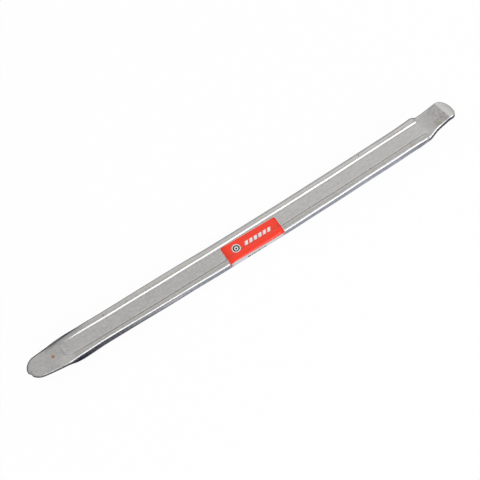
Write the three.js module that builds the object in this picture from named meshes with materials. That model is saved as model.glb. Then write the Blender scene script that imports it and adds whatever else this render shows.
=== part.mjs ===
// A drop-forged tyre lever: one steel bar of I-section, bowed along its length, with a flat
// rounded spoon at one end and a raised spoon at the other, and a label wrapped on its middle.
// Millimetres. X runs along the lever to the raised spoon, Y across it to the side that the
// label leaves bare, Z up. The bar stands on its lowest face at Z = 0.
import * as THREE from 'three';

// ---- the bar ----
const leverLength = 400;
const shankWidth = 23.8;
const shankThickness = 8.7;
const edgeRadius = 1.6;
const sideDraft = 0.45; // how far the parting line stands out past the rounded edges
const bowRadius = 2600; // the whole bar is bent to this arc, ends up
const bowLowX = 4.5; // where the arc is lowest
const rimSpread = 0.5; // how far the rims spread out on each side before they stop at a spoon
const spreadRun = 22;

// ---- the long recess in the top face and in the underside ----
const floorWidth = 11.2;
const recessDepth = 1.3;
const wallRun = 1.3; // how far a sloping wall leans out over the recess's depth
const recessEndRun = 5; // length over which a recess runs out at its end
const topRecessInset = 34; // from the flat spoon's tip to the top recess
const undersideRecessInset = 50; // from either tip to the underside's recess

// ---- the flat spoon, at -X; insets are measured from its tip ----
const flatSpoonLength = 40;
const flatNoseLength = 9; // the rounded nose
const flatNoseWidth = 18.6; // across the start of the nose
const flatTaperPower = 1.5; // 1 would taper the sides straight
const flatTipThickness = 2.4;
const flatRootThickness = 3.2;
const flatRootInset = 27;
const flatHeelInset = 42; // where the underside comes down to the bar's full thickness
const flatDrop = 2.4; // how far the face of the spoon sinks below the line of the rims
const flatDropStart = 42;
const flatDropEnd = 12;

// ---- the raised spoon, at +X; insets are measured from its tip ----
const hookWidth = 19.4; // across the end
const hookRootWidth = 21; // across the start of the slope
const hookTaperStart = 10; // the sides run straight from here to the neck
const hookTaperEnd = 28;
const hookTipThickness = 4;
const hookRootThickness = 4.8;
const hookRootInset = 26;
const hookHeelInset = 40;
const shoulderInset = 31; // where the rims start to drop to the recess floor
const shoulderRun = 4;
const farNeckRun = 4; // from the shoulder to the spoon's own width, on the far side
const nearNeckRun = 13;
const hookRise = 5.7; // how far the spoon lifts off the bar's line
const hookRiseStart = 29;
const hookRiseEnd = 8;
const hookRiseSlant = 0.17; // the lift comes this much later along X for each unit nearer to -Y
const hookTipOffset = -4.5; // y of the furthest point of the end
const hookFarRounding = 9; // length of the rounding on each side of that point
const hookNearRounding = 4;

// ---- the label ----
const labelLength = 50.4;
const labelCentreX = 2.6;
const labelFilm = 0.25;
const labelGap = 0.08; // adhesive between the film and the steel
const labelFarMargin = 0.8; // from the foot of the far wall to the label's edge
const labelUndersideReach = 8; // from the near wall of the underside's recess, over its floor

// ---- how finely the shapes are divided ----
const cornerSteps = 3;
const tipSteps = 6;
const bluntTip = 0.2; // width left at the very tip, as a share of the width behind the rounding
const shankStep = 28;
const endStep = 3;
const endClearance = 1; // a level station this close to the label's end is left out

// ---- the most that a feature may take up where the bar runs out to a tip ----
const floorShare = 0.5; // of half the width
const rimShare = 0.65;
const radiusShare = 0.25;
const draftShare = 0.08;
const radiusThicknessShare = 0.4; // of the thickness

const leftTip = -leverLength / 2;
const rightTip = leverLength / 2;
const halfThickness = shankThickness / 2;
const halfShank = shankWidth / 2;
const levelHalf = shankStep / 2; // half the length of the level stretch at the lowest point
const filmTop = labelGap + labelFilm; // the lowest face is the film's, where it crosses a rim

// 0 up to start, 1 from end on, easing in and out between them
function ease(value, start, end) {
  const share = THREE.MathUtils.clamp((value - start) / (end - start), 0, 1);
  return share * share * (3 - 2 * share);
}

// how far the bow has risen at a distance from its lowest point
function bowRise(run) {
  return bowRadius - Math.sqrt(bowRadius * bowRadius - run * run);
}

// height of the bar's centre line; the level faces at the lowest point stand at Z = 0
function bowHeight(x) {
  return filmTop + halfThickness + bowRise(x - bowLowX) - bowRise(levelHalf);
}

// the width kept at a distance from a rounded tip, as a share of the width behind the rounding
function roundedShare(fromTip, roundLength) {
  const atTip = Math.sqrt(1 - bluntTip * bluntTip);
  const into = THREE.MathUtils.clamp(1 - fromTip / roundLength, 0, 1) * atTip;
  return Math.sqrt(1 - into * into);
}

// the outline of the flat spoon and its side of the bar, as half a width
function flatOutline(fromTip) {
  const spread = rimSpread * (1 - ease(Math.abs(fromTip - flatHeelInset), 0, spreadRun));
  const along = THREE.MathUtils.clamp(1 - fromTip / flatSpoonLength, 0, 1);
  const noseAlong = 1 - flatNoseLength / flatSpoonLength;
  const narrowing = (halfShank - flatNoseWidth / 2) * Math.pow(along / noseAlong, flatTaperPower);
  return (halfShank + spread - narrowing) * roundedShare(fromTip, flatNoseLength);
}

// half the width where the bar's shoulder narrows to the raised spoon, on one of its sides
function neckOutline(fromTip, neckRun) {
  const taper = THREE.MathUtils.clamp((fromTip - hookTaperStart) / (hookTaperEnd - hookTaperStart), 0, 1);
  const spoonHalf = THREE.MathUtils.lerp(hookWidth, hookRootWidth, taper) / 2;
  const spread = rimSpread * (1 - ease(fromTip, shoulderInset, shoulderInset + spreadRun));
  const shoulder = ease(fromTip, shoulderInset - neckRun, shoulderInset);
  return THREE.MathUtils.lerp(spoonHalf, halfShank + spread, shoulder);
}

// the outline of the bar on both sides: y of its far edge and of its near edge
function outlineAt(x) {
  const fromLeft = x - leftTip;
  const fromRight = rightTip - x;
  if (fromLeft < fromRight) {
    const half = flatOutline(fromLeft);
    return { far: half, near: -half };
  }
  const farShare = roundedShare(fromRight, hookFarRounding);
  const nearShare = roundedShare(fromRight, hookNearRounding);
  return {
    far: THREE.MathUtils.lerp(hookTipOffset, neckOutline(fromRight, farNeckRun), farShare),
    near: THREE.MathUtils.lerp(hookTipOffset, -neckOutline(fromRight, nearNeckRun), nearShare),
  };
}

// the level of the underside where a bar that is full thick behind the heel thins into a spoon
function undersideLevel(top, fromTip, tipThickness, rootThickness, rootInset, heelInset) {
  const along = Math.min(fromTip / rootInset, 1);
  const spoonBottom = top - THREE.MathUtils.lerp(tipThickness, rootThickness, along);
  return THREE.MathUtils.lerp(spoonBottom, -halfThickness, ease(fromTip, rootInset, heelInset));
}

// one cross-section of the bar: its edges in y, its levels above the bar's centre line
function sectionAt(x) {
  const fromLeft = x - leftTip;
  const fromRight = rightTip - x;
  const { far, near } = outlineAt(x);
  const half = (far - near) / 2;
  const centre = (far + near) / 2;
  const rims = ease(fromRight, shoulderInset - shoulderRun, shoulderInset);
  const sunk = ease(fromLeft, topRecessInset, topRecessInset + recessEndRun);
  const fromEnd = Math.min(fromLeft, fromRight);
  const underSunk = ease(fromEnd, undersideRecessInset, undersideRecessInset + recessEndRun);
  const flatSink = flatDrop * (1 - ease(fromLeft, flatDropEnd, flatDropStart));
  const top = halfThickness - recessDepth * (1 - rims) - flatSink;
  const bottom = fromLeft < fromRight
    ? undersideLevel(top, fromLeft, flatTipThickness, flatRootThickness, flatRootInset, flatHeelInset)
    : undersideLevel(top, fromRight, hookTipThickness, hookRootThickness, hookRootInset, hookHeelInset);
  const floorHalf = Math.min(floorWidth / 2, half * floorShare);
  return {
    far,
    near,
    centre,
    top,
    bottom,
    middle: (top + bottom) / 2,
    floorTop: Math.min(top, halfThickness - recessDepth * Math.max(sunk, 1 - rims)),
    floorBottom: bottom + recessDepth * underSunk,
    floorHalf,
    rimInner: Math.min(floorHalf + wallRun, half * rimShare),
    radius: Math.min(edgeRadius, (top - bottom) * radiusThicknessShare, half * radiusShare),
    draft: Math.min(sideDraft, half * draftShare),
  };
}

// the raised spoon's height above the bar's line
function spoonLift(x, y) {
  const fromRight = rightTip - x - hookRiseSlant * y;
  return hookRise * (1 - ease(fromRight, hookRiseEnd, hookRiseStart));
}

function cornerArc(centreY, centreZ, radius, startAngle) {
  const points = [];
  for (let step = 0; step <= cornerSteps; step += 1) {
    const angle = startAngle + (Math.PI / 2) * (step / cornerSteps);
    points.push([centreY + radius * Math.cos(angle), centreZ + radius * Math.sin(angle)]);
  }
  return points;
}

// a closed cross-section of the bar, anticlockwise seen from +X
function barRing(x) {
  const s = sectionAt(x);
  const farCorner = s.far - s.draft - s.radius;
  const nearCorner = s.near + s.draft + s.radius;
  return [
    [s.far, s.middle],
    ...cornerArc(farCorner, s.top - s.radius, s.radius, 0),
    [s.centre + s.rimInner, s.top],
    [s.centre + s.floorHalf, s.floorTop],
    [s.centre - s.floorHalf, s.floorTop],
    [s.centre - s.rimInner, s.top],
    ...cornerArc(nearCorner, s.top - s.radius, s.radius, Math.PI / 2),
    [s.near, s.middle],
    ...cornerArc(nearCorner, s.bottom + s.radius, s.radius, Math.PI),
    [s.centre - s.rimInner, s.bottom],
    [s.centre - s.floorHalf, s.floorBottom],
    [s.centre + s.floorHalf, s.floorBottom],
    [s.centre + s.rimInner, s.bottom],
    ...cornerArc(farCorner, s.bottom + s.radius, s.radius, 1.5 * Math.PI),
  ];
}

// the line that the label follows round the near side, at an offset from the steel: from the
// top recess over the near rim, down the side and under the bar into the underside's recess
function labelLine(x, offset) {
  const s = sectionAt(x);
  const corner = s.near + s.draft + s.radius;
  const wallOffset = offset * Math.tan(Math.atan2(recessDepth, wallRun) / 2);
  return [
    [s.floorHalf - labelFarMargin, s.floorTop + offset],
    [-s.floorHalf + wallOffset, s.floorTop + offset],
    [-s.rimInner + wallOffset, s.top + offset],
    ...cornerArc(corner, s.top - s.radius, s.radius + offset, Math.PI / 2),
    [s.near - offset, s.middle],
    ...cornerArc(corner, s.bottom + s.radius, s.radius + offset, Math.PI),
    [-s.rimInner + wallOffset, s.bottom - offset],
    [-s.floorHalf + wallOffset, s.floorBottom - offset],
    [-s.floorHalf + labelUndersideReach, s.floorBottom - offset],
  ];
}

function labelRing(x) {
  return [...labelLine(x, filmTop), ...labelLine(x, labelGap).reverse()];
}

// evenly spaced values from start to end, about one every step
function spaced(start, end, step) {
  const count = Math.max(1, Math.round((end - start) / step));
  return Array.from({ length: count + 1 }, (_, index) => start + ((end - start) * index) / count);
}

// values that crowd towards a tip
function crowded(tip, reach) {
  return Array.from({ length: tipSteps + 1 }, (_, step) => tip + reach * (step / tipSteps) ** 2);
}

// the label's cross-sections; the middle two stand evenly about the bow's lowest point, so the
// faces between them are level
function labelStations() {
  const start = labelCentreX - labelLength / 2;
  const end = labelCentreX + labelLength / 2;
  const levelPair = [bowLowX - levelHalf, bowLowX + levelHalf];
  const inside = levelPair.filter((x) => x > start + endClearance && x < end - endClearance);
  return [start, ...inside, end];
}

function barStations() {
  const onLabel = labelStations();
  const flatEnd = leftTip + undersideRecessInset + 2 * recessEndRun;
  const hookStart = rightTip - undersideRecessInset - 2 * recessEndRun;
  return [
    ...crowded(leftTip, flatNoseLength),
    ...spaced(leftTip + flatNoseLength, flatEnd, endStep).slice(1),
    ...spaced(flatEnd, onLabel[0], shankStep).slice(1),
    ...onLabel.slice(1),
    ...spaced(onLabel[onLabel.length - 1], hookStart, shankStep).slice(1),
    ...spaced(hookStart, rightTip - hookFarRounding, endStep).slice(1),
    ...crowded(rightTip, -hookFarRounding).reverse().slice(1),
  ];
}

// a closed solid through one ring of points at each station along X
function loft(name, stations, ringAt, material) {
  const rings = stations.map(ringAt);
  const count = rings[0].length;
  const positions = rings.flatMap((ring, index) => {
    const x = stations[index];
    return ring.flatMap(([y, z]) => [x, y, bowHeight(x) + z + spoonLift(x, y)]);
  });
  const triangles = [];
  for (let index = 0; index + 1 < rings.length; index += 1) {
    for (let point = 0; point < count; point += 1) {
      const a = index * count + point;
      const b = index * count + ((point + 1) % count);
      triangles.push(a, b, b + count);
      triangles.push(a, b + count, a + count);
    }
  }
  const capOf = (ring) => {
    const outline = ring.map(([y, z]) => new THREE.Vector2(y, z));
    return THREE.ShapeUtils.triangulateShape(outline, []);
  };
  const lastStart = (rings.length - 1) * count;
  for (const [a, b, c] of capOf(rings[0])) {
    triangles.push(c, b, a);
  }
  for (const [a, b, c] of capOf(rings[rings.length - 1])) {
    triangles.push(lastStart + a, lastStart + b, lastStart + c);
  }
  const geometry = new THREE.BufferGeometry();
  geometry.setAttribute('position', new THREE.Float32BufferAttribute(positions, 3));
  geometry.setIndex(triangles);
  geometry.computeVertexNormals();
  const mesh = new THREE.Mesh(geometry, material);
  mesh.name = name;
  return mesh;
}

const platedSteel = new THREE.MeshStandardMaterial({
  color: 0xb2b2b0,
  roughness: 0.38,
  metalness: 0.95,
});
const redFilm = new THREE.MeshStandardMaterial({ color: 0xe33b2c, roughness: 0.35, metalness: 0 });

const tyreLever = new THREE.Group();
tyreLever.add(loft('forged_lever', barStations(), barRing, platedSteel));
tyreLever.add(loft('wrap_label', labelStations(), labelRing, redFilm));

export default tyreLever;
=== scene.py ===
import math
import bmesh
import bpy
from mathutils import Matrix, Vector, noise


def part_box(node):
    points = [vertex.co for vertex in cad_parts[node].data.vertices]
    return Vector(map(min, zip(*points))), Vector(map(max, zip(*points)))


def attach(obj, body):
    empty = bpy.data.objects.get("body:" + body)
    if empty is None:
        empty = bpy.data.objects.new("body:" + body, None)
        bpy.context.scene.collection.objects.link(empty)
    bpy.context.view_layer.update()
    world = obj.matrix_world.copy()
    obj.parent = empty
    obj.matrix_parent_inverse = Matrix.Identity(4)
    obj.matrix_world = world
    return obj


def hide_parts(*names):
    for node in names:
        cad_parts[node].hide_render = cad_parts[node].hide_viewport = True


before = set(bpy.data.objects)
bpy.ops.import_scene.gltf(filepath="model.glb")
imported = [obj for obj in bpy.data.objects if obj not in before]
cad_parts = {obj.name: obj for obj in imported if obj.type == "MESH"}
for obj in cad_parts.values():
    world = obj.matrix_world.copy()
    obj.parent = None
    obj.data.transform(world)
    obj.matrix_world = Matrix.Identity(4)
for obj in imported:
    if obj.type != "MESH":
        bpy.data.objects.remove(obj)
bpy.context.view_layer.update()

# Tyre lever: one steel forging and one wrapped label. Shapes are drawn in millimetres, +X towards the
# raised spoon, and toObject turns them into metres.
mm = 0.001
slack = 0.001   # millimetres, where a point of the block is told from the next line of points
leverLow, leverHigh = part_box("forged_lever")
labelLow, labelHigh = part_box("wrap_label")

bar = {
    "halfLength": (leverHigh.x - leverLow.x) / 2 / mm,
    "halfWidth": 12.05,
    "thickness": 8.7,
    "underside": leverLow.z / mm,   # the label's film lifts the steel off the ground
    "edgeRun": (1.3, 3.9),          # the rims roll off over this width, at the left and at the right
    "edgeDrop": (1.1, 2.6),         # and by this height
    "edgeFullness": (1.3, 2),       # 2 is rolled to an ellipse, less is nearer a chamfer
    "edgeSpan": (-62, -24),         # where the left's rounding turns into the right's, short of the label
    "edgeColumns": 3.9,             # width of the plain block's edge zone
    "farDraft": 0.2,                # the parting line stands this far past the rolled edges
    "nearDraft": (1.8, 0.8),        # at the left and at the right
    "endDraft": (0.1, 0.4),         # this much more towards each spoon
    "steepest": 0.21,               # the near draft is at most this share of the thickness
    "bandLean": (0.55, 0.0),        # the near side's band leans in by this at its top
    "parting": (0.5, 0.25),         # level of the near side's parting line, from the underside up
    "bandHalf": (1.3, 0.35),        # half the height of the trimmed band on the parting line
    "slimmer": 0.6,                 # the left part is this much narrower on each side
    "slimSpan": (-150, -70),
    "nearBulge": 0.4,               # slight swelling of the near side to the right of the middle
    "bandProud": (0.08, 0.45),      # usually, and where the dies met least well
    "bandWorst": (-80, 55),         # middle and reach of that stretch
    "bowRadius": 2600,
    "bowLowX": 4.5,
    "rimSpread": 0.5,
    "spreadRun": 22,
    "noseHalves": (5, 9),           # between these half widths the block's middle moves to the recess's
    "waviness": 0.13,               # uneven hammering of the whole surface
    "edgeWaviness": 0.169,          # and of its outline
    "bluntNose": 0.985,             # 1 would bring the outline to a point's width at its very end
    "bulgeSpan": (0, 40),
    "chainReach": 16,               # how far from each tip the outline is kept as a chain of points
    "chainSteps": 40,
}
recess = {
    "floorHalf": 5.6,
    "wallRun": 1.3,
    "depth": 1.3,
    "centre": 0.2,
    "leftDepth": 0.5,               # share of the depth that the recess has at its left end
    "leftRun": 26,
    "endRun": 3.8,
    "endRound": 4.5,                # rounding of the recess's corners seen from above
    "rimLine": 0.35,                # from the top of its wall to the next line of the block
    "topInset": 28.5,
    "underInset": 50,
}
flatSpoon = {
    "length": 40, "noseLength": 9, "noseHalf": 9.3, "taperPower": 1.5,
    "tipThickness": 2.4, "rootThickness": 3.2, "rootInset": 27, "heelInset": 42,
    "edgeRun": 1.15, "edgeDrop": 0.95, "tipEdge": 1.0, "draft": 0.25, "nearDraft": 0.45, "parting": 0.15,
    "nearTrim": 0.9,
    "heelSwell": 0.2, "heelDraft": 1.3, "heelAt": 35, "heelReach": 24,
    "drop": 2.4, "dropStart": 42, "dropEnd": 12,
    "nick": (-199.4, -2.6), "nickReach": 2.6, "nickDepth": 0.9,
}
raisedSpoon = {
    "tipHalf": 9.7, "rootHalf": 10.5, "taperStart": 10, "taperEnd": 28,
    "tipThickness": 4.2, "rootThickness": 5.0, "rootInset": 26, "heelInset": 40,
    "edgeRun": 1.1, "edgeDrop": 0.85, "tipEdge": 0.6, "draft": 0.15, "nearDraft": 1.0, "parting": 0.15,
    "nearTrim": 0.7, "trimSpan": (14, 28),
    "shoulderInset": 31, "shoulderRun": 4, "farNeckRun": 4, "nearNeckRun": 13,
    "rise": 6.0, "risePower": 1.7, "riseStart": 29, "riseEnd": 8.2, "riseSlant": 0.17, "tipFall": 0.09,
    "tipOffset": -4.5, "farRounding": 9, "nearRounding": 4,
}


# the plain block that is forged: its faces' width inside the rolled edges, and the cuts round its band
blockFace = bar["halfWidth"] - bar["edgeColumns"]
bandLines = (1.6, 1.9)


def clamp(value, low=0.0, high=1.0):
    return max(low, min(high, value))


def mix(a, b, share):
    return a + (b - a) * share


def ease(value, start, end):
    share = clamp((value - start) / (end - start))
    return share * share * (3 - 2 * share)


def bowRise(run):
    return bar["bowRadius"] - math.sqrt(bar["bowRadius"] ** 2 - run * run)


def bowHeight(x):
    return bar["underside"] + bar["thickness"] / 2 + bowRise(x - bar["bowLowX"])


def roundedShare(fromTip, length):
    into = clamp(1 - fromTip / length) * bar["bluntNose"]
    return math.sqrt(1 - into * into)


def spoonAt(x):
    return flatSpoon if x < 0 else raisedSpoon


# the thick heel of the flat spoon, 1 at its middle
def heelShare(x):
    return 1 - ease(abs(x + bar["halfLength"] - flatSpoon["heelAt"]), 0, flatSpoon["heelReach"])


# the plan of the bar: y of its far and near edges
def outlineAt(x):
    fromTip = bar["halfLength"] - abs(x)
    half = bar["halfWidth"] - bar["slimmer"] * (1 - ease(x, *bar["slimSpan"]))
    s = spoonAt(x)
    if x < 0:
        along = clamp(1 - fromTip / s["length"])
        narrowing = (half - s["noseHalf"]) * (along / (1 - s["noseLength"] / s["length"])) ** s["taperPower"]
        spread = bar["rimSpread"] * (1 - ease(abs(fromTip - s["heelInset"]), 0, bar["spreadRun"]))
        edge = (half + spread - narrowing) * roundedShare(fromTip, s["noseLength"])
        return edge, s["nearTrim"] * along ** 2 - s["heelSwell"] * heelShare(x) - edge
    taper = clamp((fromTip - s["taperStart"]) / (s["taperEnd"] - s["taperStart"]))
    spoonHalf = mix(s["tipHalf"], s["rootHalf"], taper)
    inset = s["shoulderInset"]
    spread = bar["rimSpread"] * (1 - ease(fromTip, inset, inset + bar["spreadRun"]))
    far = mix(spoonHalf, half + spread, ease(fromTip, inset - s["farNeckRun"], inset))
    near = mix(spoonHalf, half + spread, ease(fromTip, inset - s["nearNeckRun"], inset))
    near += bar["nearBulge"] * ease(x, *bar["bulgeSpan"]) * ease(fromTip, 40, 60)
    near -= s["nearTrim"] * (1 - ease(fromTip, *s["trimSpan"]))
    far = mix(s["tipOffset"], far, roundedShare(fromTip, s["farRounding"]))
    near = mix(s["tipOffset"], -near, roundedShare(fromTip, s["nearRounding"]))
    return far, near


# the outline round one spoon as a chain of points, and how far a place lies inside it
def tipChain(side):
    steps = bar["chainSteps"]
    insets = [bar["chainReach"] * (i / steps) ** 2 for i in range(steps + 1)]
    sections = [(side * (bar["halfLength"] - inset), inset) for inset in insets]
    far = [Vector((x, outlineAt(x)[0])) for x, _ in reversed(sections)]
    near = [Vector((x, outlineAt(x)[1])) for x, _ in sections]
    return far + near


tipChains = {-1: tipChain(-1), 1: tipChain(1)}


def insideBy(x, y):
    far, near = outlineAt(x)
    gap = max(0, min(far - y, y - near))
    if bar["halfLength"] - abs(x) > 12:
        slope = (outlineAt(x + 0.4)[0] - outlineAt(x - 0.4)[0]) / 0.8
        return gap / math.hypot(1, slope)
    place = Vector((x, y))
    chain = tipChains[-1 if x < 0 else 1]
    for a, b in zip(chain, chain[1:]):
        along = clamp((place - a).dot(b - a) / (b - a).length_squared)
        gap = min(gap, (place - a.lerp(b, along)).length)
    return gap


# levels of the rims and of the underside, measured from the bar's centre line
def levelsAt(x):
    fromTip = bar["halfLength"] - abs(x)
    half = bar["thickness"] / 2
    s = spoonAt(x)
    if x < 0:
        top = half - s["drop"] * (1 - ease(fromTip, s["dropEnd"], s["dropStart"]))
    else:
        rims = ease(fromTip, s["shoulderInset"] - s["shoulderRun"], s["shoulderInset"])
        top = half - recess["depth"] * (1 - rims)
    thin = top - mix(s["tipThickness"], s["rootThickness"], min(fromTip / s["rootInset"], 1))
    return top, mix(thin, -half, ease(fromTip, s["rootInset"], s["heelInset"]))


# how far along a place is from the bar's left section to its right one
def rightShare(x):
    return ease(x, *bar["edgeSpan"])


# width, height and fullness of the rolled-off edge
def edgeAt(x, full):
    s = spoonAt(x)
    share = ease(bar["halfLength"] - abs(x), s["rootInset"] - 4, s["heelInset"])
    onBar = rightShare(x)
    atTip = mix(s["tipEdge"], 1, ease(bar["halfLength"] - abs(x), 5, 18))
    run = mix(s["edgeRun"] * atTip, mix(*bar["edgeRun"], onBar), share)
    drop = mix(s["edgeDrop"] * atTip, mix(*bar["edgeDrop"], onBar), share)
    return run, min(drop, full * 0.45), mix(1.15, mix(*bar["edgeFullness"], onBar), share)


# how far the rims' edge stands in from the parting line, on the far side and on the near side
def draftsAt(x, full):
    s = spoonAt(x)
    onSpoon = 1 - ease(bar["halfLength"] - abs(x), 14, 30)
    leftMore, rightMore = bar["endDraft"]
    towardsSpoon = rightMore * ease(x, 45, 110) + leftMore * ease(-x, 100, 130)
    nearDraft = mix(*bar["nearDraft"], rightShare(x)) + towardsSpoon
    farDraft = mix(bar["farDraft"], s["draft"], onSpoon) + flatSpoon["heelDraft"] * heelShare(x)
    return farDraft, min(mix(nearDraft, s["nearDraft"], onSpoon), bar["steepest"] * full)


# level of a side's point below its rolled edge: the parting line, and the edges of the band round it
def sideLevel(x, y, z, low, high):
    scale = (high - low) / bar["thickness"]
    parting = 0.5
    if y < 0:
        onBar = ease(bar["halfLength"] - abs(x), 28, 110)
        parting = mix(spoonAt(x)["parting"], mix(*bar["parting"], rightShare(x)), onBar)
    level = mix(low, high, parting)
    room = min(level - low, high - level)
    band = min(mix(*bar["bandHalf"], rightShare(x)) * scale * 1.3, room * 0.6)
    if abs(z) < slack:
        return level
    onBand = abs(z) < bandLines[0] + slack
    return level + math.copysign(band if onBand else band + room * 0.15, z)


# how far a place in the bar's face is sunk into a recess, 0 to 1
def sunkShare(x, across, onTop):
    fromLeft = x + bar["halfLength"]
    fromRight = bar["halfLength"] - x
    foot = recess["floorHalf"]
    cornerRun = clamp(abs(across) - (foot - recess["endRound"]), 0, recess["endRound"])
    cornerPull = recess["endRound"] - math.sqrt(recess["endRound"] ** 2 - cornerRun ** 2)
    if onTop:
        run = fromLeft - (cornerPull if across < 0 else 0)
        start = recess["topInset"]
        deepening = mix(recess["leftDepth"], 1, clamp((run - start) / recess["leftRun"]))
        wall = 1 - clamp((abs(across) - foot) / (recess["wallRun"] * deepening))
        return wall * deepening * ease(run, start, start + recess["endRun"])
    wall = 1 - clamp((abs(across) - foot) / recess["wallRun"])
    run = min(fromLeft, fromRight) - cornerPull
    return wall * ease(run, recess["underInset"], recess["underInset"] + recess["endRun"])


# the slope steepens up to the crest, past which the tip falls away a little
def spoonLift(x, y):
    s = raisedSpoon
    fromRight = bar["halfLength"] - x - s["riseSlant"] * y
    climb = clamp((s["riseStart"] - fromRight) / (s["riseStart"] - s["riseEnd"]))
    beyond = max(0, s["riseEnd"] - fromRight)
    return s["rise"] * climb ** s["risePower"] - s["tipFall"] * beyond


# slow unevenness left by the dies, the same in every run
def hammered(place, span, seed):
    return noise.noise(Vector((place.x / span, place.y / 14 + seed, place.z / 14 - seed)))


# the flat spoon's chipped corner
def chippedBy(place):
    s = flatSpoon
    bite = math.hypot(place.x - s["nick"][0], place.y - s["nick"][1])
    return s["nickDepth"] * (1 - ease(bite, 0, s["nickReach"]))


# how far out from the recess's middle a point of the block goes
def acrossAt(size, face, rolled):
    rim = recess["floorHalf"] + recess["wallRun"] + recess["rimLine"]
    recessEdge = min(rim, face * 0.96)
    if size < rim:
        return recessEdge * size / rim
    if size < blockFace:
        return mix(recessEdge, face, (size - rim) / (blockFace - rim))
    return face + rolled * (size - blockFace) / bar["edgeColumns"]


# how far a face lies below its rims at a place: the rolled edge and the recess together
def faceDrop(block, y, level, draft, edge):
    run, drop, fullness = edge
    atCorner = abs(block.y) > bar["halfWidth"] - slack
    inside = 0 if atCorner else insideBy(block.x, y) - draft
    into = clamp(1 - inside / run)
    fall = drop * (1 - (1 - into ** fullness) ** (1 / fullness))
    room = clamp(abs(level) - (bar["thickness"] / 2 - recess["depth"]), 0, recess["depth"])
    return fall + sunkShare(block.x, block.y, block.z > 0) * room


# how far a place of the side stands in from the parting line, on the far side and on the near side
def shelvesAt(x, z, scale):
    if abs(z) < slack:
        return 0, 0
    worst, reach = bar["bandWorst"]
    onBand = abs(z) < bandLines[0] + slack
    shelf = 0 if onBand else mix(*bar["bandProud"], 1 - ease(abs(x - worst), 0, reach)) * scale
    lean = mix(*bar["bandLean"], rightShare(x)) * ease(scale, 0.7, 1)
    return shelf, shelf + lean


# carries a point of the plain block to its place on the lever
def forgePoint(block):
    x = block.x
    onFace = abs(block.z) > bar["thickness"] / 2 - slack
    far, near = outlineAt(x)
    top, bottom = levelsAt(x)
    full = top - bottom
    scale = full / bar["thickness"]
    drafts = draftsAt(x, full)
    farIn, nearIn = drafts if onFace else shelvesAt(x, block.z, scale)
    far -= farIn
    near += nearIn
    half = (far - near) / 2
    edge = edgeAt(x, full)
    atEnd = bar["halfLength"] - abs(x) <= 0.3
    slope = 9 if atEnd else (outlineAt(x + 0.3)[0] - outlineAt(x - 0.3)[0]) / 0.6
    rolled = min(edge[0] * math.hypot(1, slope), half * 0.55)
    side = math.copysign(1, block.y)
    centre = mix((far + near) / 2, recess["centre"], ease(half, *bar["noseHalves"]))
    face = side * ((far if side > 0 else near) - centre) - rolled
    y = centre + side * acrossAt(abs(block.y), face, rolled)
    draft = drafts[0] if block.y > 0 else drafts[1]
    if not onFace:
        z = sideLevel(x, block.y, block.z, bottom + edge[1], top - edge[1])
    elif block.z > 0:
        z = top - faceDrop(block, y, top, draft, edge)
    else:
        z = bottom + faceDrop(block, y, bottom, draft, edge)
    shaped = Vector((x, y, bowHeight(x) + z + spoonLift(x, y)))
    shaped.z += bar["waviness"] * hammered(block, 26, 3.1) * scale
    shaped.y += bar["edgeWaviness"] * hammered(block, 31, 8.7)
    shaped.x += chippedBy(shaped)
    return shaped


def toObject(bm, name, material):
    mesh = bpy.data.meshes.new(name)
    bmesh.ops.scale(bm, vec=(mm, mm, mm), verts=bm.verts)
    bm.to_mesh(mesh)
    bm.free()
    for polygon in mesh.polygons:
        polygon.use_smooth = True
    piece = bpy.data.objects.new(name, mesh)
    bpy.context.scene.collection.objects.link(piece)
    piece.data.materials.append(material)
    return piece


def cutAt(bm, axis, places):
    normal = Vector((0, 0, 0))
    normal[axis] = 1
    for place in places:
        geometry = bm.verts[:] + bm.edges[:] + bm.faces[:]
        bmesh.ops.bisect_plane(bm, geom=geometry, plane_co=normal * place, plane_no=normal, dist=1e-5)


def spaced(start, end, step):
    count = max(1, round((end - start) / step))
    return [start + (end - start) * i / count for i in range(count + 1)]


# stations along the bar: close together on the spoons and crowding at the tips
def stations():
    end = bar["halfLength"]
    spoonsEnd = recess["underInset"] + 8
    tips = [0.12, 0.4, 0.8, 1.35, 2.1, 3.0, 4.1, 5.3, 6.6]
    flat = [-end + t for t in tips] + spaced(-end + 8, -end + spoonsEnd, 1.3)
    raised = [end - t for t in tips] + spaced(end - spoonsEnd, end - 8, 1.5)
    return flat + spaced(-end + spoonsEnd, end - spoonsEnd, 6)[1:-1] + raised


def makeLever(material):
    bm = bmesh.new()
    bmesh.ops.create_cube(bm, size=2)
    half = (bar["halfLength"], bar["halfWidth"], bar["thickness"] / 2)
    bmesh.ops.scale(bm, vec=half, verts=bm.verts)
    foot = recess["floorHalf"]
    top = foot + recess["wallRun"]
    lines = [2.6, foot - 0.7, foot, foot + recess["wallRun"] / 2, top, top + recess["rimLine"]]
    lines += [blockFace + bar["edgeColumns"] * math.sin(math.radians(a)) for a in (6, 17, 30, 43, 56, 69, 81)]
    cutAt(bm, 1, [0] + lines + [-line for line in lines])
    cutAt(bm, 2, [0] + [side * line for line in bandLines for side in (1, -1)])
    cutAt(bm, 0, stations())
    place = bm.verts.layers.float_vector.new("place")
    inset = bm.verts.layers.float.new("inset")
    sunk = bm.verts.layers.float.new("sunk")
    for vert in bm.verts:
        vert[place] = vert.co
        onSide = abs(vert.co.z) < bar["thickness"] / 2 - slack
        vert[sunk] = 0 if onSide else sunkShare(vert.co.x, vert.co.y, vert.co.z > 0)
        vert.co = forgePoint(vert.co)
        vert[inset] = 0 if onSide else insideBy(vert.co.x, vert.co.y)
    bmesh.ops.recalc_face_normals(bm, faces=bm.faces)
    piece = toObject(bm, "forgedLever", material)
    smooth = piece.modifiers.new("smooth", "SUBSURF")
    smooth.levels = smooth.render_levels = 1
    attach(piece, "root")
    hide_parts("forged_lever")
    return piece


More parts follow.
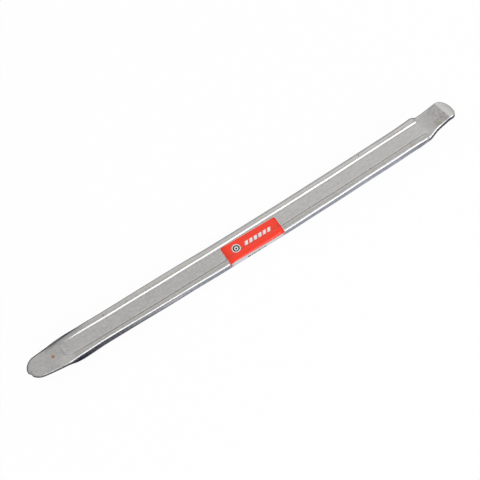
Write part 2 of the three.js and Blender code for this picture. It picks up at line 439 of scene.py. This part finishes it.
label = {
    "length": (labelHigh.x - labelLow.x) / mm * 1.03,
    "centreX": (labelHigh.x + labelLow.x) / 2 / mm - 0.2,
    "farEdge": labelHigh.y / mm,
    "turn": -0.027,                 # stuck on slightly crooked, radians
    "cornerRadius": 2.0,
    "lift": 0.1,                    # underside of the film above the steel
    "film": 0.2,
    "ink": 0.025,                   # each printed layer stands this much prouder
    "bedded": 0.01,                 # depth that a print sinks into the film
    "trim": 0.3,                    # bare film left round the red print
    "tentStart": 3.0,               # the film leaves the recess's floor here to climb on to the rim
    "underReach": 8,
    "sideFold": 16.6,               # from the far edge to where the side panel starts
    "panelBorder": 1.2,
    "margin": 4.0,                  # spare length of the path beyond the far edge
}


# the line that the film follows across the bar, from the far edge round to the underside
def wrapLine():
    half = bar["thickness"] / 2
    floor = half - recess["depth"]
    rim = recess["floorHalf"] + recess["wallRun"]
    reach = bar["halfWidth"] - bar["nearDraft"][1]
    run, drop, _ = edgeAt(label["centreX"], bar["thickness"])
    points = [(label["farEdge"] + label["margin"], floor)]
    points += [(-y, floor + recess["depth"] * ease(y, label["tentStart"], rim))
               for y in spaced(label["tentStart"], rim, 0.5)]
    for a in spaced(8, 90, 8):
        turned = math.radians(a)
        points.append((run * (1 - math.sin(turned)) - reach, half - drop * (1 - math.cos(turned))))
    points.append((-bar["halfWidth"], 0))
    points += [(y, -z) for y, z in reversed(points[:-1])]
    return [Vector(p) for p in points]


wrapPoints = wrapLine()


# place and outward direction at a distance along the wrap line
def alongWrap(distance):
    travel = distance + label["margin"]
    for a, b in zip(wrapPoints, wrapPoints[1:]):
        step = (b - a).length
        if travel <= step or b is wrapPoints[-1]:
            point = a.lerp(b, travel / step)
            direction = (b - a).normalized()
            return point, Vector((direction.y, -direction.x))
        travel -= step


def wrapNormal(distance):
    total = Vector((0, 0))
    for shift in (-0.5, -0.25, 0, 0.25, 0.5):
        total += alongWrap(distance + shift)[1]
    return total.normalized()


def wrapPoint(flat, height):
    turned = Matrix.Rotation(label["turn"], 2) @ Vector((flat.x, -flat.y))
    x = label["centreX"] + turned.x
    distance = -turned.y
    point, _ = alongWrap(distance)
    point = point + wrapNormal(distance) * height
    return Vector((x, point.x, bowHeight(x) + point.y))


# bends a flat shape, drawn as length by distance from the far edge, round the bar
def wrapShape(bm, height):
    cutAt(bm, 0, spaced(-label["length"] / 2, label["length"] / 2, 6)[1:-1])
    cutAt(bm, 1, spaced(0, 40, 0.45))
    for vert in bm.verts:
        vert.co = wrapPoint(vert.co, height)
    bmesh.ops.reverse_faces(bm, faces=bm.faces)


def flatPlate(bm, x0, x1, y0, y1, corner=0.0, slant=0.0):
    made = bmesh.ops.create_grid(bm, x_segments=1, y_segments=1, size=0.5)["verts"]
    bmesh.ops.scale(bm, vec=(x1 - x0, y1 - y0, 1), verts=made)
    bmesh.ops.translate(bm, vec=((x0 + x1) / 2, (y0 + y1) / 2, 0), verts=made)
    for vert in made:
        vert.co.x -= slant * (vert.co.y - (y0 + y1) / 2)
    if corner:
        bmesh.ops.bevel(bm, geom=made, offset=corner, segments=6, profile=0.5,
                        affect="VERTICES", material=-1)


def finishPrint(bm, name, material, layer):
    wrapShape(bm, label["lift"] + label["film"] - label["bedded"])
    piece = toObject(bm, name, material)
    thick = piece.modifiers.new("thick", "SOLIDIFY")
    thick.thickness = (label["bedded"] + label["ink"] * layer) * mm
    thick.offset = 1
    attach(piece, "root")
    return piece


# the film's whole length round the bar, ending a set reach in from the near rim underneath
def wrapLength():
    total = sum((b - a).length for a, b in zip(wrapPoints, wrapPoints[1:]))
    return total - label["margin"] - label["farEdge"] - (bar["halfWidth"] - label["underReach"])


def makeLabel(filmMaterial, redInk, panelInk):
    half = label["length"] / 2
    reach = wrapLength()
    bm = bmesh.new()
    flatPlate(bm, -half, half, 0, reach, label["cornerRadius"])
    wrapShape(bm, label["lift"])
    film = toObject(bm, "labelFilm", filmMaterial)
    thick = film.modifiers.new("thick", "SOLIDIFY")
    thick.thickness = label["film"] * mm
    thick.offset = 1
    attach(film, "root")
    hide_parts("wrap_label")

    edge = label["trim"]
    bm = bmesh.new()
    flatPlate(bm, -half + edge, half - edge, edge, reach - edge, label["cornerRadius"] - edge)
    finishPrint(bm, "redPrint", redInk, 1)

    border = label["panelBorder"]
    bm = bmesh.new()
    flatPlate(bm, -half + border, half - border, label["sideFold"], reach - border, 0.8)
    finishPrint(bm, "sidePanel", panelInk, 2)


artwork = {
    "badgeCentre": (-14.5, 7.1),    # from the label's middle and from its far edge
    "badgeRadius": 3.75,
    "tyreOuter": 2.9,
    "tyreInner": 1.75,
    "hubRadius": 0.85,
    "barsStart": -6.6,
    "barsEnd": 17.4,
    "barCount": 6,
    "barGap": 1.25,
    "barTop": 5.5,
    "barBottom": 9.1,
    "barSlant": 0.45,
    "tickStart": -9.7,
    "tickRows": (18.6, 20.5, 22.4),
    "ticks": (2.6, 1.1, 1.9, 0.8, 2.9, 1.4, 2.2),
    "tickGap": 0.75,
    "tickHeight": 0.95,
}


def flatDisc(bm, centre, outer, inner=0.0):
    made = bmesh.ops.create_circle(bm, cap_ends=True, segments=48, radius=outer)["verts"]
    if inner:
        face = made[0].link_faces[0]
        bmesh.ops.inset_individual(bm, faces=[face], thickness=outer - inner, use_even_offset=True)
        hole = [f for f in bm.faces if len(f.verts) > 4 and all(v.co.length < inner * 1.05 for v in f.verts)]
        bmesh.ops.delete(bm, geom=hole, context="FACES_ONLY")
    bmesh.ops.translate(bm, vec=(centre[0], centre[1], 0), verts=bm.verts)


def makeArtwork(whiteInk, blackInk):
    a = artwork
    bm = bmesh.new()
    flatDisc(bm, a["badgeCentre"], a["badgeRadius"])
    finishPrint(bm, "badgeDisc", whiteInk, 2)
    bm = bmesh.new()
    flatDisc(bm, a["badgeCentre"], a["tyreOuter"], a["tyreInner"])
    finishPrint(bm, "badgeTyre", blackInk, 3)
    bm = bmesh.new()
    flatDisc(bm, a["badgeCentre"], a["hubRadius"])
    finishPrint(bm, "badgeHub", blackInk, 3)
    width = (a["barsEnd"] - a["barsStart"] + a["barGap"]) / a["barCount"] - a["barGap"]
    bm = bmesh.new()
    for i in range(a["barCount"]):
        start = a["barsStart"] + i * (width + a["barGap"])
        flatPlate(bm, start, start + width, a["barTop"], a["barBottom"], slant=a["barSlant"])
    finishPrint(bm, "slantedBars", whiteInk, 2)
    bm = bmesh.new()
    for row, top in enumerate(a["tickRows"]):
        start = a["tickStart"]
        for i in range(len(a["ticks"])):
            length = a["ticks"][(i + row * 3) % len(a["ticks"])]
            flatPlate(bm, start, start + length, top, top + a["tickHeight"])
            start += length + a["tickGap"]
    finishPrint(bm, "panelTicks", blackInk, 3)


def addNode(tree, kind, **values):
    made = tree.nodes.new(kind)
    for name, value in values.items():
        if hasattr(made, name):
            setattr(made, name, value)
        else:
            made.inputs[name].default_value = value
    return made


def mathNode(tree, operation, a, b=0.0, clampIt=False):
    made = addNode(tree, "ShaderNodeMath", operation=operation, use_clamp=clampIt)
    for socket, value in zip(made.inputs, (a, b)):
        if isinstance(value, bpy.types.NodeSocket):
            tree.links.new(value, socket)
        else:
            socket.default_value = value
    return made.outputs[0]


def ramp(tree, value, low, high, toLow=0.0, toHigh=1.0):
    made = addNode(tree, "ShaderNodeMapRange", interpolation_type="SMOOTHSTEP")
    tree.links.new(value, made.inputs["Value"])
    for name, number in (("From Min", low), ("From Max", high), ("To Min", toLow), ("To Max", toHigh)):
        made.inputs[name].default_value = number
    return made.outputs["Result"]


def mixColour(tree, share, a, b, blend="MIX"):
    made = addNode(tree, "ShaderNodeMix", data_type="RGBA", blend_type=blend, clamp_factor=True)
    for socket, value in ((made.inputs[0], share), (made.inputs[6], a), (made.inputs[7], b)):
        if isinstance(value, bpy.types.NodeSocket):
            tree.links.new(value, socket)
        else:
            socket.default_value = value
    return made.outputs[2]


def product(tree, result, *others):
    for value in others:
        result = mathNode(tree, "MULTIPLY", result, value)
    return result


def total(tree, result, *others):
    for value in others:
        result = mathNode(tree, "ADD", result, value)
    return result


def noiseNode(tree, vector, scale, detail=3.0, rough=0.55):
    made = addNode(tree, "ShaderNodeTexNoise", Scale=scale, Detail=detail, Roughness=rough)
    tree.links.new(vector, made.inputs["Vector"])
    return made.outputs["Fac"]


# smudges and fine scuffs from handling; the vector is in millimetres
def makeHandlingGroup():
    group = bpy.data.node_groups.new("handlingMarks", "ShaderNodeTree")
    group.interface.new_socket("Place", in_out="INPUT", socket_type="NodeSocketVector")
    for name, value in (("Smudge Size", 12.0), ("Scuff Size", 1.5)):
        group.interface.new_socket(name, in_out="INPUT", socket_type="NodeSocketFloat").default_value = value
    for name in ("Smudge", "Scuff"):
        group.interface.new_socket(name, in_out="OUTPUT", socket_type="NodeSocketFloat")
    inside = addNode(group, "NodeGroupInput")
    outside = addNode(group, "NodeGroupOutput")
    for size, name, low, high in (("Smudge Size", "Smudge", 0.42, 0.66), ("Scuff Size", "Scuff", 0.56, 0.72)):
        scale = mathNode(group, "DIVIDE", 1.0, inside.outputs[size])
        made = addNode(group, "ShaderNodeTexNoise", Detail=4.0, Roughness=0.6)
        group.links.new(inside.outputs["Place"], made.inputs["Vector"])
        group.links.new(scale, made.inputs["Scale"])
        group.links.new(ramp(group, made.outputs["Fac"], low, high), outside.inputs[name])
    return group


def addHandling(tree, handling, place, settings):
    marks = addNode(tree, "ShaderNodeGroup", node_tree=handling)
    tree.links.new(place, marks.inputs["Place"])
    marks.inputs["Smudge Size"].default_value = settings["smudgeSize"]
    marks.inputs["Scuff Size"].default_value = settings["scuffSize"]
    return marks


def addBump(tree, shader, height, strength, distance):
    bump = addNode(tree, "ShaderNodeBump", Strength=strength, Distance=distance)
    tree.links.new(height, bump.inputs["Height"])
    tree.links.new(bump.outputs[0], shader.inputs["Normal"])


def newMaterial(name):
    material = bpy.data.materials.new(name)
    material.use_nodes = True
    return material, material.node_tree, material.node_tree.nodes["Principled BSDF"]


steel = {
    "light": (0.545, 0.542, 0.536, 1),
    "dark": (0.435, 0.434, 0.429, 1),
    "brightening": 0.0005,                # towards the raised spoon, for each millimetre
    # painted shade: dark reflection along the flat spoon's outline, shade on its heel and at the recess's end
    "edge": (0.075, 0.078, 0.10, 1),
    "warm": (0.60, 0.52, 0.43, 1),
    "warmLine": 7.9,                      # the rims' inner side, from the bar's middle
    "paintedHighlight": (0.63, 0.63, 0.625, 1),   # painted highlight beyond the raised spoon's crest
    "slopeShade": (0.26, 0.26, 0.26, 1),        # painted shade on the slope below it
    "crestAt": 191.8,
    "crestSlant": 0.17,
    "rust": (0.22, 0.075, 0.02, 1),
    "rustPale": (0.42, 0.23, 0.11, 1),
    "rustMetal": 0.15,
    "roughness": (0.26, 0.36),
    "smudgeSize": 16,
    "scuffSize": 1.1,
    "relief": 0.0003,
    # x, y, radius and strength of each spot
    "freckles": ((-177.7, 0.5, 1.45, 1.0), (-129.1, 7.6, 0.9, 0.6), (114.5, 9.3, 0.8, 0.8),
                 (115.8, -5.7, 0.8, 0.6), (-197.6, -2.4, 1.3, 0.9), (60.0, -8.8, 0.5, 0.6),
                 (-88.0, 8.9, 0.5, 0.6)),
    "stain": (0.66, 0.50, 0.36, 1),
    "stains": ((155.3, -8.3, 3.2, 0.6), (184.0, -6.2, 5.0, 0.62), (188.5, -4.0, 4.2, 0.55),
               (-174.0, -5.4, 1.4, 0.4), (-160.0, -7.2, 1.6, 0.4)),
    # painted highlight patches on the flat spoon's heel
    "highlightSpots": ((-172.5, -6.5, 5.5, 0.45), (-168.0, -8.5, 4.5, 0.4)),
    "streak": (138.0, 165.0, 7.7, 1.0),   # its two ends, its y and its strength
    "streakFade": 8,
}


# what the steel's marks are placed by: the point of the plain block, and the noises made from it
def steelFields(tree):
    place = addNode(tree, "ShaderNodeAttribute", attribute_name="place").outputs["Vector"]
    split = addNode(tree, "ShaderNodeSeparateXYZ")
    tree.links.new(place, split.inputs[0])
    x, y, z = split.outputs
    flat = addNode(tree, "ShaderNodeCombineXYZ")
    tree.links.new(x, flat.inputs[0])
    tree.links.new(y, flat.inputs[1])
    stretch = addNode(tree, "ShaderNodeMapping", Scale=(0.12, 1.3, 1.3))
    tree.links.new(place, stretch.inputs["Vector"])
    drawn = stretch.outputs[0]
    return {
        "place": place, "x": x, "y": y, "z": z, "flat": flat.outputs[0], "drawn": drawn,
        "mottle": noiseNode(tree, place, 0.42, 4, 0.6),
        "grain": noiseNode(tree, place, 2.6, 3, 0.6),
        "flow": noiseNode(tree, drawn, 1.0, 3, 0.5),
        "ragged": product(tree, total(tree, noiseNode(tree, place, 1.4, 3, 0.6), -0.5), 2.4),
        "inset": addNode(tree, "ShaderNodeAttribute", attribute_name="inset").outputs["Fac"],
        "sunk": addNode(tree, "ShaderNodeAttribute", attribute_name="sunk").outputs["Fac"],
    }


# the strongest of a few ragged spots
def spotMask(tree, fields, spots, core):
    mask = None
    for atX, atY, radius, strength in spots:
        away = addNode(tree, "ShaderNodeVectorMath", operation="DISTANCE")
        tree.links.new(fields["flat"], away.inputs[0])
        away.inputs[1].default_value = (atX, atY, 0)
        edge = total(tree, away.outputs["Value"], product(tree, fields["ragged"], radius * 0.5))
        spot = ramp(tree, edge, radius * core, radius * 1.15, strength, 0.0)
        mask = spot if mask is None else mathNode(tree, "MAXIMUM", mask, spot)
    return mask


# the plating: mottled, fine-grained and drawn out along the bar
def platingTone(tree, fields):
    tone = total(tree, product(tree, fields["mottle"], 0.9), product(tree, fields["grain"], 0.55),
                 product(tree, fields["flow"], 0.35), product(tree, fields["x"], steel["brightening"]))
    return mixColour(tree, ramp(tree, tone, 0.66, 1.12), steel["dark"], steel["light"])


# a warmer line on the rims' inner side, beside the recess
def rimWarmth(tree, fields):
    fromLine = total(tree, mathNode(tree, "ABSOLUTE", fields["y"]), -steel["warmLine"])
    onLine = ramp(tree, mathNode(tree, "ABSOLUTE", fromLine), 0.1, 0.95, 1, 0)
    uneven = ramp(tree, noiseNode(tree, fields["drawn"], 0.7, 3), 0.25, 0.75, 0.05, 0.45)
    x = fields["x"]
    besideRecess = product(tree, ramp(tree, x, -150, -60, 0.1), ramp(tree, x, 158, 170, 1, 0))
    return product(tree, onLine, uneven, besideRecess)


# painted dark reflection along the outline of the flat spoon, and painted shade on the far side of its heel
def paintedEdgeShade(tree, fields):
    x = fields["x"]
    wander = total(tree, fields["inset"], product(tree, total(tree, fields["mottle"], -0.5), 0.5))
    darkOutlineReflection = product(tree, ramp(tree, wander, 0.5, 1.1, 0.85, 0), ramp(tree, x, -168, -140, 1, 0))
    onHeel = product(tree, ramp(tree, x, -186, -172), ramp(tree, x, -158, -138, 1, 0))
    heelShade = product(tree, onHeel, ramp(tree, fields["y"], 3, 6), ramp(tree, wander, 0.8, 5.4, 0.6, 0))
    return mathNode(tree, "MAXIMUM", darkOutlineReflection, heelShade)


# painted shade: a faint dark line where the recess runs out towards the flat spoon
def recessEndShade(tree, fields):
    band = product(tree, ramp(tree, fields["sunk"], 0.02, 0.2), ramp(tree, fields["sunk"], 0.2, 0.55, 1, 0))
    return product(tree, band, ramp(tree, fields["x"], -162, -154, 0.3, 0),
                   ramp(tree, fields["y"], -2, 4, 1, 0.35))


# how far a place is past the raised spoon's crest
def pastCrest(tree, fields):
    across = product(tree, fields["y"], steel["crestSlant"])
    return total(tree, fields["x"], across, -steel["crestAt"], total(tree, fields["mottle"], -0.5))


# painted highlight beyond the crest, and in patches on the heel of the flat spoon
def paintedHighlightShare(tree, fields, past):
    beyond = product(tree, ramp(tree, past, -0.3, 0.5), ramp(tree, past, 1.5, 6.5, 0.85, 0.15))
    return mathNode(tree, "MAXIMUM", beyond, spotMask(tree, fields, steel["highlightSpots"], 0.3))


# painted shade on the slope below the crest, in patches
def slopeShadeShare(tree, fields, past):
    onSlope = product(tree, ramp(tree, past, -11, -4.5), ramp(tree, past, -0.5, 0.1, 1, 0))
    return product(tree, onSlope, ramp(tree, fields["mottle"], 0.3, 0.62, 0.45, 0.05))


def onUpperSide(tree, fields):
    return ramp(tree, fields["z"], -2, 2)


# brown stains, and a broken streak on the far rim
def stainShare(tree, fields):
    x = fields["x"]
    patchy = ramp(tree, noiseNode(tree, fields["drawn"], 0.9, 4, 0.6), 0.35, 0.65)
    patches = product(tree, spotMask(tree, fields, steel["stains"], 0.1), patchy)
    start, end, line, strength = steel["streak"]
    fade = steel["streakFade"]
    along = product(tree, ramp(tree, x, start, start + fade), ramp(tree, x, end - fade, end, 1, 0))
    fromLine = mathNode(tree, "ABSOLUTE", total(tree, fields["y"], -line))
    broken = ramp(tree, noiseNode(tree, fields["place"], 0.5, 3), 0.35, 0.6)
    streak = product(tree, along, ramp(tree, fromLine, 0.15, 0.8, strength, 0), broken)
    return product(tree, mathNode(tree, "MAXIMUM", patches, streak), onUpperSide(tree, fields))


# rust freckles on the upper side, and small flecks all over
def rustShare(tree, fields):
    freckles = product(tree, spotMask(tree, fields, steel["freckles"], 0.45), onUpperSide(tree, fields))
    flecks = ramp(tree, noiseNode(tree, fields["place"], 0.9, 2, 0.4), 0.745, 0.80, 0, 0.5)
    return mathNode(tree, "MAXIMUM", freckles, flecks, True)


def makeSteel(handling):
    material, tree, shader = newMaterial("platedSteel")
    fields = steelFields(tree)
    mottle, grain = fields["mottle"], fields["grain"]
    marks = addHandling(tree, handling, fields["place"], steel)
    past = pastCrest(tree, fields)
    rust = rustShare(tree, fields)
    rustColour = mixColour(tree, ramp(tree, grain, 0.35, 0.65), steel["rust"], steel["rustPale"])

    colour = platingTone(tree, fields)
    colour = mixColour(tree, rimWarmth(tree, fields), colour, steel["warm"])
    colour = mixColour(tree, paintedEdgeShade(tree, fields), colour, steel["edge"])
    colour = mixColour(tree, recessEndShade(tree, fields), colour, steel["edge"])
    colour = mixColour(tree, paintedHighlightShare(tree, fields, past), colour, steel["paintedHighlight"])
    colour = mixColour(tree, slopeShadeShare(tree, fields, past), colour, steel["slopeShade"])
    colour = mixColour(tree, stainShare(tree, fields), colour, steel["stain"], "MULTIPLY")
    colour = mixColour(tree, rust, colour, rustColour)
    tree.links.new(colour, shader.inputs["Base Color"])
    tree.links.new(ramp(tree, rust, 0, 1, 1, steel["rustMetal"]), shader.inputs["Metallic"])

    rough = total(tree, ramp(tree, mottle, 0.3, 0.7, *steel["roughness"]),
                  product(tree, marks.outputs["Smudge"], 0.07), product(tree, rust, 0.35))
    tree.links.new(rough, shader.inputs["Roughness"])
    height = total(tree, product(tree, mottle, 0.55), product(tree, grain, 0.3),
                   product(tree, marks.outputs["Scuff"], -0.12), product(tree, fields["flow"], 0.3))
    addBump(tree, shader, height, 0.32, steel["relief"])
    return material


film = {
    "smudgeSize": 7,
    "scuffSize": 0.9,
    "gloss": 0.6,
    "relief": 0.0001,
}


# printed or bare film: ink with a fine screen, scuffs and smudges
def makeFilm(name, handling, colour, worn, roughness):
    material, tree, shader = newMaterial(name)
    coordinates = addNode(tree, "ShaderNodeTexCoord").outputs["Object"]
    inMm = addNode(tree, "ShaderNodeMapping", Scale=(1 / mm, 1 / mm, 1 / mm))
    tree.links.new(coordinates, inMm.inputs["Vector"])
    marks = addHandling(tree, handling, inMm.outputs[0], film)
    smudge = marks.outputs["Smudge"]
    speckle = noiseNode(tree, inMm.outputs[0], 3.2, 2, 0.5)
    share = total(tree, product(tree, marks.outputs["Scuff"], 0.12), ramp(tree, speckle, 0.3, 0.7, 0, 0.12))
    share = mathNode(tree, "ADD", share, product(tree, smudge, 0.10), True)
    tree.links.new(mixColour(tree, share, colour, worn), shader.inputs["Base Color"])
    rough = ramp(tree, speckle, 0.3, 0.7, roughness, roughness + 0.06)
    rough = total(tree, rough, product(tree, smudge, 0.12))
    tree.links.new(rough, shader.inputs["Roughness"])
    shader.inputs["Specular IOR Level"].default_value = film["gloss"]
    addBump(tree, shader, speckle, 0.12, film["relief"])
    return material


view = {
    "azimuth": -34.0, "elevation": 68.0, "distance": 0.9827, "lens": 92.82,
    "aimRight": -0.00618, "aimUp": 0.00015, "aimHeight": 0.00468,
}
lighting = {
    "world": (1.0, 0.99, 0.97),
    "worldStrength": 0.77,
    "overhead": {"at": (0.45, 0.78, 1.0), "aim": (0.1, 0, 0), "size": (0.9, 0.9), "radiance": 0.38,
                 "colour": (1, 0.995, 0.98)},
    "nearSide": {"at": (0.40, -1.12, 0.48), "aim": (0.1, 0, 0), "size": (1.25, 0.75), "radiance": 2.5,
                 "colour": (0.96, 0.98, 1)},
}
stage = {
    "size": 5000,                         # half the floor's side
    "mirroredLeft": (0.045, 0.05, 0.085, 1),
    "mirroredRight": (0.61, 0.64, 0.77, 1),
    "brighteningSpan": (-0.185, 0.0),     # metres along the lever
    "darkeningSpan": (0.155, 0.19),
}


def addSoftbox(name, settings):
    width, height = settings["size"]
    data = bpy.data.lights.new(name, "AREA")
    data.shape = "RECTANGLE"
    data.size, data.size_y = width, height
    data.energy = settings["radiance"] * math.pi * width * height
    data.color = settings["colour"]
    lamp = bpy.data.objects.new(name, data)
    lamp.location = settings["at"]
    lamp.rotation_mode = "QUATERNION"
    lamp.rotation_quaternion = (Vector(settings["at"]) - Vector(settings["aim"])).to_track_quat("Z", "Y")
    bpy.context.scene.collection.objects.link(lamp)


# white to the camera; what the steel mirrors of it is dark and bluish beside both ends of the lever
def makeFloorMaterial():
    material, tree, shader = newMaterial("paleFloor")
    tree.nodes.remove(shader)
    output = tree.nodes["Material Output"]
    path = addNode(tree, "ShaderNodeLightPath")
    matte = addNode(tree, "ShaderNodeBsdfDiffuse", Color=(0.9, 0.9, 0.9, 1))
    glow = addNode(tree, "ShaderNodeEmission", Color=(1, 1, 1, 1), Strength=1.0)
    seen = addNode(tree, "ShaderNodeMixShader", Fac=0.96)
    tree.links.new(matte.outputs[0], seen.inputs[1])
    tree.links.new(glow.outputs[0], seen.inputs[2])
    split = addNode(tree, "ShaderNodeSeparateXYZ")
    tree.links.new(addNode(tree, "ShaderNodeTexCoord").outputs["Object"], split.inputs[0])
    share = product(tree, ramp(tree, split.outputs[0], *stage["brighteningSpan"]),
                    ramp(tree, split.outputs[0], *stage["darkeningSpan"], 1, 0.06))
    tone = mixColour(tree, share, stage["mirroredLeft"], stage["mirroredRight"])
    dim = addNode(tree, "ShaderNodeBsdfDiffuse")
    tree.links.new(tone, dim.inputs["Color"])
    pick = addNode(tree, "ShaderNodeMixShader")
    tree.links.new(path.outputs["Is Camera Ray"], pick.inputs["Fac"])
    tree.links.new(dim.outputs[0], pick.inputs[1])
    tree.links.new(seen.outputs[0], pick.inputs[2])
    tree.links.new(pick.outputs[0], output.inputs["Surface"])
    return material


def makeStage():
    bm = bmesh.new()
    bmesh.ops.create_grid(bm, x_segments=1, y_segments=1, size=stage["size"])
    floor = toObject(bm, "floor", makeFloorMaterial())
    world = bpy.data.worlds.new("studio")
    bpy.context.scene.world = world
    world.use_nodes = True
    background = world.node_tree.nodes["Background"]
    background.inputs["Color"].default_value = (*lighting["world"], 1)
    background.inputs["Strength"].default_value = lighting["worldStrength"]
    addSoftbox("overheadSoftbox", lighting["overhead"])
    addSoftbox("nearSoftbox", lighting["nearSide"])


def makeCamera():
    turn = math.radians(view["azimuth"])
    tilt = math.radians(view["elevation"])
    away = Vector((math.sin(turn) * math.cos(tilt), -math.cos(turn) * math.cos(tilt), math.sin(tilt)))
    right = Vector((math.cos(turn), math.sin(turn), 0))
    up = away.cross(right)
    data = bpy.data.cameras.new("camera")
    data.lens = view["lens"]
    data.sensor_width = 36
    data.clip_start = 0.02
    camera = bpy.data.objects.new("camera", data)
    aim = Vector((0, 0, view["aimHeight"])) + right * view["aimRight"] + up * view["aimUp"]
    camera.location = aim + away * view["distance"]
    camera.rotation_mode = "QUATERNION"
    camera.rotation_quaternion = Matrix((right, up, away)).transposed().to_quaternion()
    bpy.context.scene.collection.objects.link(camera)
    bpy.context.scene.camera = camera


print("camera, lights and floor")
makeCamera()
makeStage()
bpy.context.scene.view_settings.view_transform = "Standard"
handlingMarks = makeHandlingGroup()
print("forging")
makeLever(makeSteel(handlingMarks))
print("label")
bareFilm = makeFilm("bareFilm", handlingMarks, (0.80, 0.80, 0.80, 1), (0.62, 0.62, 0.62, 1), 0.32)
redInk = makeFilm("redInk", handlingMarks, (0.94, 0.028, 0.001, 1), (0.95, 0.042, 0.008, 1), 0.16)
panelInk = makeFilm("panelInk", handlingMarks, (0.61, 0.61, 0.64, 1), (0.52, 0.52, 0.55, 1), 0.34)
whiteInk = makeFilm("whiteInk", handlingMarks, (0.88, 0.87, 0.87, 1), (0.78, 0.77, 0.77, 1), 0.30)
blackInk = makeFilm("blackInk", handlingMarks, (0.012, 0.012, 0.014, 1), (0.05, 0.05, 0.055, 1), 0.34)
makeLabel(bareFilm, redInk, panelInk)
makeArtwork(whiteInk, blackInk)
